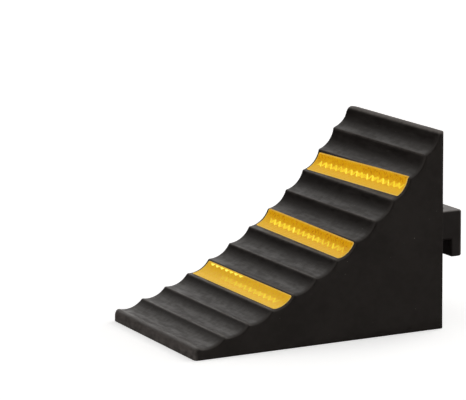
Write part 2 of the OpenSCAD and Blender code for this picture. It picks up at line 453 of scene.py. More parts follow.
# A groove's walls, as (height above the base, how far outside the straight wall)
GROOVE_WALL = ((-1.0, 0.6), (0.0, 0.6), (0.25, 0.18), (0.6, 0.0),
               (GROOVE_D - 0.6, 0.0), (GROOVE_D - 0.2, -0.3), (GROOVE_D, -0.7))
GROOVE_TURN_POINTS = 13


def grooves():
    """The round-ended grooves across the base, with eased rims and floors."""
    patches = Patches()
    straight = GROOVE_L / 2 - GROOVE_W / 2
    turns = np.linspace(0, math.pi, GROOVE_TURN_POINTS)
    for i in range(GROOVES):
        x = (i - (GROOVES - 1) / 2) * GROOVE_PITCH
        rings = []
        for z, out in GROOVE_WALL:
            r = GROOVE_W / 2 + out
            ring = [(x + r * math.cos(t), straight + r * math.sin(t), z) for t in turns]
            ring += [(x - r * math.cos(t), -straight - r * math.sin(t), z) for t in turns]
            rings.append(ring + ring[:1])
        patches.grid(rings)
        patches.cap(rings[0][:-1])
        patches.cap(rings[-1][:-1])
    return patches


def make_wedge(material):
    wedge = wedge_points().add("wedge_body")
    finish_mesh(wedge)
    soften(wedge)
    cut(wedge, grooves())
    cut(wedge, holes(pocket_rings()))
    finish_mesh(wedge)
    stand_for(wedge, "rubber_wedge", material)


# -------------------- flat shapes

# Steps in a flat outline's round corner, the least distance between two of its
# points, and the axes of a flat shape
ARC_STEPS = 6
SAME_POINT = 0.001
ALONG, ACROSS = 0, 1


def rounded_box(w, h, corner_radii):
    """Outline of a rectangle with round corners, anticlockwise from its lower right."""
    points = []
    for k, ((sx, sy), r) in enumerate(zip(((1, -1), (1, 1), (-1, 1), (-1, -1)), corner_radii)):
        for t in np.linspace((k - 1) * math.pi / 2, k * math.pi / 2, ARC_STEPS + 1):
            points.append((sx * (w / 2 - r) + r * math.cos(t), sy * (h / 2 - r) + r * math.sin(t)))
    return points


def turn_points(middle, r, start, end, steps=ARC_STEPS):
    """Points on a corner's arc, both ends included, with angles in degrees."""
    return [(middle[0] + r * math.cos(math.radians(t)), middle[1] + r * math.sin(math.radians(t)))
            for t in np.linspace(start, end, steps + 1)]


def draw_in(outline, d):
    """An anticlockwise outline moved inward by d."""
    points = [Vector(p) for p in outline]
    moved = []
    for k, p in enumerate(points):
        before = (p - points[k - 1]).normalized()
        after = (points[(k + 1) % len(points)] - p).normalized()
        inward = Vector((-before.y - after.y, before.x + after.x))
        inward /= 1 + before.dot(after)
        moved.append(tuple(p + inward * d))
    return moved


class Flat:
    """A thin solid drawn flat, as (u, v, height), before it is bent to its place."""

    def __init__(self):
        self.bm = bmesh.new()
        self.marks = {}

    def mark_layer(self, name):
        if name not in self.marks:
            self.marks[name] = self.bm.faces.layers.float.new(name)
        return self.marks[name]

    def face(self, points, heights, **marks):
        layers = {name: self.mark_layer(name) for name in marks}
        verts = [self.bm.verts.new((p[0], p[1], h)) for p, h in zip(points, heights)]
        face = self.bm.faces.new(verts)
        for name, layer in layers.items():
            face[layer] = marks[name]

    def ring(self, outer, inner, outer_h, inner_h, **marks):
        """Quads between two outlines with the same number of points."""
        n = len(outer)
        for a in range(n):
            b = (a + 1) % n
            heights = [outer_h, outer_h, inner_h, inner_h]
            self.face([outer[a], outer[b], inner[b], inner[a]], heights, **marks)

    def level(self, outline, height, **marks):
        self.face(outline, [height] * len(outline), **marks)

    def slice(self, axis, places):
        """Cuts every face at the given places, so that the shape can bend there."""
        normal = Vector((0, 0, 0))
        normal[axis] = 1
        for at in places:
            geometry = list(self.bm.verts) + list(self.bm.edges) + list(self.bm.faces)
            bmesh.ops.bisect_plane(self.bm, geom=geometry, dist=1e-5, plane_co=normal * at,
                                   plane_no=normal)

    def add(self, name, bend, sharp_angle=35.0):
        """Bends the shape and makes the object. The "rise" of a point is its place
        across the tape, from 0 at the lower edge to 1 at the upper."""
        bmesh.ops.remove_doubles(self.bm, verts=self.bm.verts, dist=SAME_POINT)
        rise = self.bm.verts.layers.float.new("rise")
        for v in self.bm.verts:
            v[rise] = v.co.y / TAPE_W + 0.5
            v.co = Vector(bend(*v.co)) * MM
        mesh = bpy.data.meshes.new(name)
        self.bm.to_mesh(mesh)
        self.bm.free()
        made = add_object(name, mesh)
        finish_mesh(made, sharp_angle, weld=0.001)
        return made


# -------------------- tape

TAPE_BORDER = 1.4
FAR_CORNERS = (TAPE_CORNER_R, TAPE_CORNER_R)
TAPE_ROWS = 3
TAPE_CELLS = 17
SEAL_HALF_W = 0.35
TILE_BEVEL = 0.25
TILE_RISE = 0.1
FILM_EDGE = 0.25
ADHESIVE_MARGIN = 0.1
NEAR_ZERO = 0.01

# Width of a tile's rim, and its width in a row whose upper edge carries painted glints
TILE_RIM = 0.95
EDGE_RIM = 1.8
# Share of the painted glint on a tile's rim, and on the sides that slant the weaker way
TILE_GLINT = 0.75
WEAK_SLANT = 0.7
# Shares of its sides' painted glint that a tile's middle may take
GLINT_SPREADS = (0.0, 0.1, 0.4)

# Cuts that let the tape bend: how many across it and along it, and how far from
# its ends the extra ones lie
CUTS_ACROSS = 20
CUTS_ALONG = 12
END_CUTS = (1, 2, 4)

# A row of cells whose rims carry painted glints: which row, whether its slanted rims
# carry them or those along the strip's upper edge, from where to where along the strip
# from its far end, and the least and the greatest strength.
Flash = namedtuple("Flash", "row slanted first last least most")

# A strip of tape: its scallop, how far up the scallop's curve its lower edge lies
# at the far and at the near end, the radii of its two near corners, and its painted glints.
Strip = namedtuple("Strip", "name scallop far_s near_s near_corners flashes")

STRIPS = (
    Strip("lower", 4, 2.8, 2.5, (2.0, 3.2), (
        Flash(2, False, 0.02, 0.42, 0.8, 1.0),
        Flash(1, True, 0.26, 0.40, 0.1, 0.4),
        Flash(1, True, 0.40, 0.93, 0.25, 0.6))),
    Strip("middle", 7, 5.6, 2.7, (2.0, 3.2), (
        Flash(1, True, 0.08, 0.62, 0.5, 1.0),
        Flash(1, True, 0.62, 0.95, 0.2, 0.8))),
    Strip("upper", 10, 1.6, 6.3, (1.0, 1.6), (
        Flash(1, True, 0.06, 0.97, 0.4, 1.0),)),
)


def on_ramp(i, s, lift):
    """Point lift above the ramp's curve, at s along it from the start of scallop i."""
    for k in (i, i + 1):
        bowl = scallop_centre(k)
        low, high = crest_round(k - 1, 0.0)[0], crest_round(k, 0.0)[0]
        start, end = heading(bowl, low), heading(bowl, high)
        run = TOUCH_R * (end - start)
        if s <= run:
            return on_circle(bowl, TOUCH_R - lift, start + s / TOUCH_R)
        s -= run
        start, end = heading(high, bowl), heading(high, scallop_centre(k + 1))
        run = CREST_R * (start - end)
        if s <= run:
            return on_circle(high, CREST_R + lift, start - s / CREST_R)
        s -= run
    raise ValueError("the tape runs past the next scallop")


def tape_bend(strip):
    """Bends a flat strip into its scallop: u runs along Y and v up the curve."""
    def bend(u, v, h):
        share = 0.5 - u / TAPE_L
        s = strip.far_s + share * (strip.near_s - strip.far_s) + v + TAPE_W / 2
        x, z = on_ramp(strip.scallop, s, h - ramp_inset(u))
        return x - BACK_X, u, z
    return bend


def tape_cells():
    """The film's sealed cells, a lattice of triangles, as (row, place along the
    strip, corners)."""
    half_u, half_v = TAPE_L / 2 - TAPE_BORDER, TAPE_W / 2 - TAPE_BORDER
    step, rise = 2 * half_u / TAPE_CELLS, 2 * half_v / TAPE_ROWS
    cells = []
    for row in range(TAPE_ROWS):
        low, high = -half_v + row * rise, -half_v + (row + 1) * rise
        flip = row % 2
        if flip:
            low, high = high, low
        bottom = [(-half_u + k * step, low) for k in range(TAPE_CELLS + 1)]
        top = [(-half_u + (k + 0.5) * step, high) for k in range(TAPE_CELLS)]
        found = [(bottom[k], bottom[k + 1], top[k]) for k in range(TAPE_CELLS)]
        found += [(top[k], bottom[k + 1], top[k + 1]) for k in range(TAPE_CELLS - 1)]
        found += [((-half_u, high), bottom[0], top[0]), (top[-1], bottom[-1], (half_u, high))]
        for corners in found:
            along = 0.5 - sum(c[0] for c in corners) / 3 / TAPE_L
            cells.append((row, along, corners[::-1] if flip else corners))
    return cells


def tape_border_sides():
    """The nodes of the cell lattice on each side of its rectangle, anticlockwise from
    the right side."""
    half_u, half_v = TAPE_L / 2 - TAPE_BORDER, TAPE_W / 2 - TAPE_BORDER
    nodes = {c for _, _, corners in tape_cells() for c in corners}
    right = sorted(n for n in nodes if n[0] > half_u - NEAR_ZERO)
    top = sorted((n for n in nodes if n[1] > half_v - NEAR_ZERO), reverse=True)
    left = sorted((n for n in nodes if n[0] < NEAR_ZERO - half_u), reverse=True)
    bottom = sorted(n for n in nodes if n[1] < NEAR_ZERO - half_v)
    return right, top, left, bottom


def slices(length, count):
    return [-length / 2 + length * k / count for k in range(1, count)]


def tape_cell(flat, chance, flashes, corners):
    """One sealed cell: its seal, the bevel and rim of its tile, and the tile's middle."""
    top = ADHESIVE_T + FILM_T
    seal = top - TILE_RISE
    upper_edge = TAPE_W / 2 - TAPE_BORDER - NEAR_ZERO
    edge_flash = any(not f.slanted for f in flashes)
    seal_in = draw_in(corners, SEAL_HALF_W)
    tile = draw_in(corners, SEAL_HALF_W + TILE_BEVEL)
    core = draw_in(corners, SEAL_HALF_W + TILE_BEVEL + (EDGE_RIM if edge_flash else TILE_RIM))
    # Painted glint that spreads from the cell's sides into the tile's middle
    glow = 0.0
    for a in range(3):
        b = (a + 1) % 3
        along, up = corners[b][0] - corners[a][0], corners[b][1] - corners[a][1]
        slanted = abs(up) > NEAR_ZERO
        on_edge = corners[a][1] > upper_edge and not slanted
        here = [f for f in flashes if (slanted if f.slanted else on_edge)]
        glint = max([chance.uniform(f.least, f.most) for f in here], default=0.0)
        if slanted and up * along < 0:
            glint *= WEAK_SLANT
        if slanted:
            glow += glint * chance.choice(GLINT_SPREADS)
        rim_glint = glint * (1.0 if edge_flash else TILE_GLINT)
        flat.face([corners[a], corners[b], seal_in[b], seal_in[a]], [seal] * 4,
                  seal=1.0, border=0.0, glint=glint)
        flat.face([seal_in[a], seal_in[b], tile[b], tile[a]], [seal, seal, top, top],
                  seal=1.0, border=0.0, glint=glint)
        flat.face([tile[a], tile[b], core[b], core[a]], [top] * 4,
                  seal=0.0, border=0.0, glint=rim_glint)
    flat.level(core, top, seal=0.0, border=0.0, glint=glow)


def tape_outline(strip, margin=0.0):
    return rounded_box(TAPE_L + 2 * margin, TAPE_W + 2 * margin, FAR_CORNERS + strip.near_corners)


def film_border(flat, strip):
    """The film's plain border round its cells, its edges and its underside."""
    seal = ADHESIVE_T + FILM_T - TILE_RISE
    outline = tape_outline(strip)
    rim = draw_in(outline, FILM_EDGE)
    per_corner = len(outline) // 4
    marks = {"seal": 0.0, "border": 1.0, "glint": 0.0}
    for k, nodes in enumerate(tape_border_sides()):
        first = k * per_corner + per_corner // 2
        outer = [rim[j % len(rim)] for j in range(first, first + per_corner + 1)]
        flat.level(outer + nodes[::-1], seal, **marks)
    flat.ring(outline, rim, seal - FILM_EDGE / 2, seal, **marks)
    flat.ring(outline, outline, ADHESIVE_T, seal - FILM_EDGE / 2, **marks)
    flat.level(outline[::-1], ADHESIVE_T, **marks)


def make_film(strip, material):
    flat = Flat()
    chance = random.Random(strip.name)
    for row, along, corners in tape_cells():
        flashes = [f for f in strip.flashes if f.row == row and f.first <= along <= f.last]
        tape_cell(flat, chance, flashes, corners)
    film_border(flat, strip)
    flat.slice(ACROSS, slices(TAPE_W, CUTS_ACROSS))
    end_cuts = [side * (TAPE_L / 2 - d) for side in (-1, 1) for d in END_CUTS]
    flat.slice(ALONG, slices(TAPE_L, CUTS_ALONG) + end_cuts)
    film = flat.add(strip.name + "_reflective_film", tape_bend(strip), sharp_angle=20.0)
    stand_for(film, strip.name + "_strip_film", material)


def make_adhesive(strip, material):
    """The adhesive layer, which shows as a thin line round the film."""
    flat = Flat()
    outline = tape_outline(strip, ADHESIVE_MARGIN)
    rim = draw_in(outline, ADHESIVE_T / 2)
    flat.level(rim, ADHESIVE_T)
    flat.ring(outline, rim, ADHESIVE_T / 2, ADHESIVE_T)
    flat.ring(outline, outline, 0.0, ADHESIVE_T / 2)
    flat.level(outline[::-1], 0.0)
    flat.slice(ACROSS, slices(TAPE_W, CUTS_ACROSS))
    flat.slice(ALONG, slices(TAPE_L, CUTS_ALONG))
    layer = flat.add(strip.name + "_adhesive", tape_bend(strip))
    stand_for(layer, strip.name + "_strip_adhesive", material)


# -------------------- handle

class Path:
    """A path in plan made of straight and evenly curved runs, each (length, turn)."""

    def __init__(self, start, way, runs):
        self.start, self.way, self.runs = start, way, runs
        self.length = sum(run[0] for run in runs)

    def at(self, s, side):
        """Point at s along the path and side to its left."""
        x, y = self.start
        way = self.way
        for length, turn in self.runs:
            step = min(max(s, 0.0), length)
            curve = turn / length
            if turn:
                x += (math.sin(way + curve * step) - math.sin(way)) / curve
                y += (math.cos(way) - math.cos(way + curve * step)) / curve
            else:
                x += step * math.cos(way)
                y += step * math.sin(way)
            way += curve * step
            s -= length
            if s <= 0:
                break
        return x - side * math.sin(way), y + side * math.cos(way)


CORE_MIDDLE_R = CORE_BEND_R + CORE_T / 2
CORE_ARM_Y = HANDLE_W / 2 - HANDLE_T / 2
CORE_BAR_X = HANDLE_REACH - HANDLE_T / 2
FOOT_W = FOOT_REACH - CORE_ARM_Y - CORE_MIDDLE_R
CORE_CHAMFER = 0.45
FOOT_FILLET_R = 2.0
# Cuts in each curved and each straight run
BEND_CUTS = 10
STRAIGHT_CUTS = 4


def core_path():
    """Middle line of the steel strap in plan, from one foot's end to the other's."""
    quarter = math.pi / 2
    bend_l = CORE_MIDDLE_R * quarter
    arm = CORE_BAR_X - CORE_T / 2 - 2 * CORE_MIDDLE_R
    bar = 2 * (CORE_ARM_Y - CORE_MIDDLE_R)
    half = [(FOOT_W, 0), (bend_l, -quarter), (arm, 0), (bend_l, quarter)]
    runs = half + [(bar, 0)] + half[::-1]
    return Path((CORE_T / 2, -FOOT_REACH), quarter, runs)


def core_blank(length):
    """Outline of the strap before it is bent, with a taller foot at each end."""
    r, fillet = FOOT_CORNER_R, FOOT_FILLET_R
    high, low = FOOT_H / 2, CORE_H / 2
    left = turn_points((r, high - r), r, 180, 90) + turn_points((FOOT_W - r, high - r), r, 90, 0)
    left += turn_points((FOOT_W + fillet, low + fillet), fillet, 180, 270, 4)
    upper = left + [(length - s, z) for s, z in reversed(left)]
    lower = [(s, -z) for s, z in reversed(upper)]
    return (upper + lower)[::-1]


def bent_steel(name, path, outline):
    """A blank of the strap's thickness, with chamfered edges, bent along a path."""
    flat = Flat()
    half = CORE_T / 2
    inner = draw_in(outline, CORE_CHAMFER)
    flat.level(inner, half)
    flat.ring(outline, inner, half - CORE_CHAMFER, half)
    flat.ring(outline, outline, CORE_CHAMFER - half, half - CORE_CHAMFER)
    flat.ring(inner, outline, -half, CORE_CHAMFER - half)
    flat.level(inner[::-1], -half)
    bmesh.ops.triangulate(flat.bm, faces=[f for f in flat.bm.faces if len(f.verts) > 4])
    places, s = [], 0.0
    for length, turn in path.runs:
        steps = BEND_CUTS if turn else STRAIGHT_CUTS
        places += [s + length * k / steps for k in range(steps)]
        s += length
    flat.slice(ALONG, places[1:])

    def bend(u, v, h):
        x, y = path.at(u, h)
        return x + BACK_X, y, ARM_Z + v

    return flat.add(name, bend)


def make_core(material):
    path = core_path()
    core = bent_steel("handle_core_strap", path, core_blank(path.length))
    cut(core, holes(foot_hole_rings()))
    finish_mesh(core)
    stand_for(core, "handle_core", material)


def block(outline, low, high):
    """An object with the given plan outline between two heights."""
    flat = Flat()
    flat.level(outline, high)
    flat.ring(outline, outline, low, high)
    flat.level(outline[::-1], low)
    bmesh.ops.remove_doubles(flat.bm, verts=flat.bm.verts, dist=SAME_POINT)
    bmesh.ops.recalc_face_normals(flat.bm, faces=flat.bm.faces)
    for v in flat.bm.verts:
        v.co *= MM
    mesh = bpy.data.meshes.new("block")
    flat.bm.to_mesh(mesh)
    flat.bm.free()
    return add_object("block", mesh)


def from_back(points):
    """Plan points measured from the wedge's back face, in the CAD frame."""
    return [(x + BACK_X, y) for x, y in points]


GRIP_EDGE_R = 2.2
GRIP_EDGE_STEPS = 5
# Edges bent more than this many degrees are rounded, and less than this are flat
EDGE_ANGLE = 40
FLAT_ANGLE = 1


def round_edges(piece):
    bevel = piece.modifiers.new("edges", "BEVEL")
    bevel.width = GRIP_EDGE_R * MM
    bevel.segments = GRIP_EDGE_STEPS
    bevel.limit_method = "ANGLE"
    bevel.angle_limit = math.radians(EDGE_ANGLE)
    bpy.context.view_layer.update()
    apply_modifiers(piece)


def make_grip(material):
    """The rubber moulded over the strap: two arms and a taller crossbar, with their
    edges rounded before they are joined."""
    half, r, ri = HANDLE_W / 2, HANDLE_CORNER_R, HANDLE_INNER_R
    inner = half - HANDLE_T
    bar_x = HANDLE_REACH - HANDLE_T
    outer_corners = turn_points((HANDLE_REACH - r, r - half), r, -90, 0)
    outer_corners += turn_points((HANDLE_REACH - r, half - r), r, 0, 90)
    inner_corners = turn_points((bar_x - ri, inner - ri), ri, 90, 0)
    inner_corners += turn_points((bar_x - ri, ri - inner), ri, 0, -90)
    u_shape = [(CORE_T, -half)] + outer_corners + [(CORE_T, half), (CORE_T, inner)]
    u_shape += inner_corners + [(CORE_T, -inner)]
    bar = [(bar_x, -half)] + outer_corners + [(bar_x, half)]
    grip = block(from_back(u_shape), HANDLE_TOP - ARM_H, HANDLE_TOP)
    lower_bar = block(from_back(bar), HANDLE_TOP - BAR_H, HANDLE_TOP - ARM_H / 2)
    round_edges(grip)
    round_edges(lower_bar)
    combine(grip, lower_bar, "UNION")
    bm = bmesh.new()
    bm.from_mesh(grip.data)
    bmesh.ops.remove_doubles(bm, verts=bm.verts, dist=SAME_POINT * MM)
    bmesh.ops.dissolve_limit(bm, angle_limit=math.radians(FLAT_ANGLE), verts=bm.verts, edges=bm.edges)
    bm.to_mesh(grip.data)
    bm.free()
    grip.name = grip.data.name = "handle_rubber_grip"
    finish_mesh(grip, sharp_angle=30.0)
    weigh_normals(grip)
    stand_for(grip, "handle_grip", material)


# -------------------- fasteners

TURN_STEPS = 60
SEAT_X = CORE_T + WASHER_T
BOLT_TIP = 0.8
# The bolt's head: its washer face, the chamfer above that, the circle at its top
# and the shallow dish in its top
FACE_IN = 0.3
FACE_T = 0.25
FACE_STEP = 0.05
LOWER_CHAMFER = 0.6
CROWN_IN = 0.35
CROWN_DROPS = (0.7, 0.55, 0.4, 0.25, 0.1, 0.0)
DISH_RIM = 0.15
DISH_FLOOR_IN = 0.5
DISH_D = 0.12
WASHER_EASE = 0.25
# How far each bolt's head is turned, in radians, so that no two are alike
FIRST_SPIN = 0.4
NEXT_SPIN = 1.3


def hex_radius(across_flats):
    """A hexagon's radius, as a function of the angle."""
    def radius(turn):
        return across_flats / 2 / math.cos((turn + math.pi / 6) % (math.pi / 3) - math.pi / 6)
    return radius


def turned(patches, rings, middle, spin=0.0):
    """Adds a shape of rings, each (height, radius or its function), that stands out
    from the wedge's back face at the given place."""
    y, z = middle
    turns = [2 * math.pi * k / TURN_STEPS for k in range(TURN_STEPS)] + [0.0]
    rows = []
    for height, radius in rings:
        sizes = [radius(t) if callable(radius) else radius for t in turns]
        rows.append([(BACK_X + height, y + size * math.cos(t + spin), z + size * math.sin(t + spin))
                     for size, t in zip(sizes, turns)])
    patches.grid(rows)


def bolt_places():
    return [(side * BOLT_Y, ARM_Z + level * BOLT_PITCH / 2) for side in (-1, 1) for level in (-1, 1)]


def bolt_rings():
    flats = hex_radius(HEAD_AF)
    top = HEAD_H + SEAT_X
    end = SEAT_X - BOLT_L
    face_r = HEAD_AF / 2 - FACE_IN
    crown_r = HEAD_AF / 2 - CROWN_IN

    def chamfered(drop):
        """The hexagon at a drop below the top, cut by the head's 30 degree cone."""
        return lambda turn: min(flats(turn), crown_r + drop * math.sqrt(3))

    r = BOLT_D / 2
    shank = [(end, 0.0), (end, r - BOLT_TIP), (end + BOLT_TIP, r), (SEAT_X, r)]
    face_top = SEAT_X + FACE_T
    face = [(SEAT_X, face_r), (face_top, face_r), (face_top + FACE_STEP, chamfered(LOWER_CHAMFER))]
    crown = [(top - drop, chamfered(drop)) for drop in CROWN_DROPS]
    dish = [(top, crown_r - DISH_RIM), (top - DISH_D, crown_r - DISH_FLOOR_IN), (top - DISH_D, 0.0)]
    return shank + face + crown + dish


def washer_rings():
    inner, outer, ease = WASHER_HOLE_D / 2, WASHER_D / 2, WASHER_EASE
    low, high = CORE_T, CORE_T + WASHER_T
    lower = [(low, inner), (low, outer - ease), (low + ease, outer), (high - ease, outer)]
    upper = [(high - ease * 0.3, outer - ease * 0.3), (high, outer - ease), (high, inner + ease)]
    return lower + upper + [(high - ease, inner), (low, inner)]


# How far a hole's cutter reaches past the surface
CUT_PAST = 1.0


def holes(rings):
    """The same turned hole at each bolt."""
    patches = Patches()
    for middle in bolt_places():
        turned(patches, rings, middle)
    return patches


def pocket_rings():
    """The pocket that the rubber leaves round an insert, and the bolt's hole past it."""
    barrel = INSERT_D / 2 + HOLE_SLACK
    base = hex_radius(INSERT_BASE_AF + 2 * HOLE_SLACK)
    bolt = BOLT_D / 2 + HOLE_SLACK
    neck, end = INSERT_BASE_T - INSERT_L + HOLE_SLACK, -INSERT_L - HOLE_SLACK
    pocket = [(CUT_PAST, 0.0), (CUT_PAST, barrel), (neck, barrel), (neck, base), (end, base)]
    return pocket + [(end, bolt), (-BOLT_L, bolt), (-BOLT_L, 0.0)]


def foot_hole_rings():
    r = FOOT_HOLE_D / 2
    return [(CORE_T + CUT_PAST, 0.0), (CORE_T + CUT_PAST, r), (-CUT_PAST, r), (-CUT_PAST, 0.0)]


def make_fasteners(material):
    bolts, washers = Patches(), Patches()
    for k, middle in enumerate(bolt_places()):
        turned(bolts, bolt_rings(), middle, spin=FIRST_SPIN + NEXT_SPIN * k)
        turned(washers, washer_rings(), middle)
    for name, patches, node in (("handle_hex_bolts", bolts, "handle_bolts"),
                                ("handle_flat_washers", washers, "handle_washers")):
        piece = patches.add(name)
        finish_mesh(piece, sharp_angle=28.0, weld=0.001)
        stand_for(piece, node, material)


# -------------------- materials

class Nodes:
    """A material's node tree, with short ways to add the usual nodes."""

    def __init__(self, name):
        self.material = bpy.data.materials.new(name)
        self.material.use_nodes = True
        self.tree = self.material.node_tree
        self.shader = self.tree.nodes["Principled BSDF"]
        self.place = self.add("TexCoord").outputs["Object"]

    def add(self, kind, **values):
        node = self.tree.nodes.new("ShaderNode" + kind)
        for key, value in values.items():
            setattr(node, key, value)
        return node

    def put(self, socket, value):
        """Links an output or sets a constant."""
        if isinstance(value, bpy.types.NodeSocket):
            self.tree.links.new(value, socket)
        else:
            socket.default_value = value

    def noise(self, size, detail=3.0, rough=0.55, at=None):
        """Noise whose features are about size millimetres across."""
        node = self.add("TexNoise")
        self.put(node.inputs["Vector"], at or self.place)
        node.inputs["Scale"].default_value = 1 / (size * MM)
        node.inputs["Detail"].default_value = detail
        node.inputs["Roughness"].default_value = rough
        return node.outputs["Fac"]

    def math(self, operation, a, b=0.0, c=0.0, clamp=False):
        node = self.add("Math", operation=operation, use_clamp=clamp)
        for socket, value in zip(node.inputs, (a, b, c)):
            self.put(socket, value)
        return node.outputs[0]

    def span(self, value, low, high, to_low=0.0, to_high=1.0):
        """Maps a value from one range to another, smoothly and clamped."""
        node = self.add("MapRange", interpolation_type="SMOOTHSTEP")
        for key, v in zip(("Value", "From Min", "From Max", "To Min", "To Max"),
                          (value, low, high, to_low, to_high)):
            self.put(node.inputs[key], v)
        return node.outputs[0]

    def scaled(self, factors):
        """Place on the object with each axis scaled."""
        node = self.add("VectorMath", operation="MULTIPLY")
        self.put(node.inputs[0], self.place)
        node.inputs[1].default_value = factors
        return node.outputs[0]

    def millimetres(self):
        """Place on the object as its three coordinates in millimetres."""
        split = self.add("SeparateXYZ")
        self.put(split.inputs[0], self.scaled((1 / MM, 1 / MM, 1 / MM)))
        return split.outputs

    def from_tyre(self):
        """Distance in millimetres from the axis of the tyre that the ramp fits."""
        off = self.add("VectorMath", operation="MULTIPLY_ADD")
        self.put(off.inputs[0], self.place)
        off.inputs[1].default_value = (1 / MM, 0, 1 / MM)
        off.inputs[2].default_value = (BACK_X - ARC_CENTRE[0], 0, -ARC_CENTRE[1])
        size = self.add("VectorMath", operation="LENGTH")
        self.put(size.inputs[0], off.outputs[0])
        return size.outputs["Value"]

    def blend(self, a, b, share):
        node = self.add("Mix", data_type="RGBA")
        self.put(node.inputs["Factor"], share)
        self.put(node.inputs["A"], a)
        self.put(node.inputs["B"], b)
        return node.outputs["Result"]

    def bump(self, height, depth, normal=None):
        """Bump of the given depth in millimetres."""
        node = self.add("Bump")
        node.inputs["Distance"].default_value = depth * MM
        self.put(node.inputs["Height"], height)
        if normal is not None:
            self.put(node.inputs["Normal"], normal)
        return node.outputs["Normal"]

    def finish(self, colour, rough, normal=None, **constants):
        self.put(self.shader.inputs["Base Color"], colour)
        self.put(self.shader.inputs["Roughness"], rough)
        if normal is not None:
            self.put(self.shader.inputs["Normal"], normal)
        for key, value in constants.items():
            self.shader.inputs[key.replace("_", " ")].default_value = value
        return self.material


# Colours are linear RGB with alpha
WARM = (1.0, 0.92, 0.87, 1)


def wedge_rubber():
    """Warm black rubber, mottled, paler along its crests, ridge and toe face as a painted highlight,
    with a little dust."""
    n = Nodes("wedge_rubber")
    cloud = n.noise(60, 4, 0.6)
    mottle = n.noise(7, 4, 0.6)
    grain = n.noise(0.9, 2, 0.5)
    dark = (0.0085, 0.0066, 0.0056, 1)
    light = (0.0145, 0.0116, 0.0102, 1)
    # Pale colour of the painted highlight on the crests, the ridge and the toe face
    pale_highlight = (0.15, 0.132, 0.122, 1)
    dusty = (0.34, 0.31, 0.28, 1)
    share = n.math("ADD", n.math("MULTIPLY", cloud, 0.5), n.math("MULTIPLY", mottle, 0.5))
    colour = n.blend(dark, light, n.span(share, 0.36, 0.62))
    x, _, z = n.millimetres()
    patchy = n.span(mottle, 0.3, 0.62, 0.45, 1.0)
    crest = n.math("MULTIPLY", n.span(n.from_tyre(), RAMP_R + 1.0, RAMP_R), 0.35)
    ridge = n.span(z, HEIGHT - 5, HEIGHT - 1.5, 0.0, 1.6)
    toe = n.math("MULTIPLY", n.span(x, 5 - BACK_X, 1 - BACK_X), 0.6)
    # Painted highlight: the crests, the ridge's top and the toe face made paler, in patches
    painted_highlight = n.math("MULTIPLY", n.math("MAXIMUM", crest, n.math("MAXIMUM", ridge, toe)), patchy)
    colour = n.blend(colour, pale_highlight, painted_highlight)
    dust = n.math("MULTIPLY", n.span(n.noise(2.2, 1, 0.3), 0.83, 0.86), 0.5)
    colour = n.blend(colour, dusty, dust)
    streak = n.noise(4, 3, 0.6, at=n.scaled((1, 0.12, 1)))
    sheen = n.math("ADD", n.math("MULTIPLY", mottle, 0.5), n.math("MULTIPLY", streak, 0.5))
    rough = n.span(sheen, 0.38, 0.62, 0.35, 0.50)
    normal = n.bump(grain, 0.04)
    return n.finish(colour, rough, n.bump(mottle, 0.12, normal), Specular_Tint=WARM)


def grip_rubber():
    """The handle's rubber, smoother than the wedge's and paler on its top as a painted highlight."""
    n = Nodes("grip_rubber")
    cloud = n.noise(25, 4, 0.6)
    grain = n.noise(0.8, 2, 0.5)
    dark = (0.0085, 0.0066, 0.0060, 1)
    light = (0.0140, 0.0112, 0.0104, 1)
    # Pale colour of the painted highlight on the handle's top
    pale_highlight = (0.15, 0.135, 0.132, 1)
    colour = n.blend(dark, light, n.span(cloud, 0.35, 0.65))
    z = n.millimetres()[2]
    # Painted highlight: the handle's top made paler
    colour = n.blend(colour, pale_highlight, n.span(z, HANDLE_TOP - 1.2, HANDLE_TOP - 0.3, 0.0, 0.8))
    rough = n.span(n.math("ADD", cloud, n.math("MULTIPLY", grain, 0.4)), 0.4, 1.0, 0.30, 0.42)
    return n.finish(colour, rough, n.bump(grain, 0.04), Specular_Tint=WARM)


# Emission of the whole film, a painted light that brightens it, and the extra emission of its painted
# glints
FILM_GLOW = 0.34
FLASH_STRENGTH = 0.64


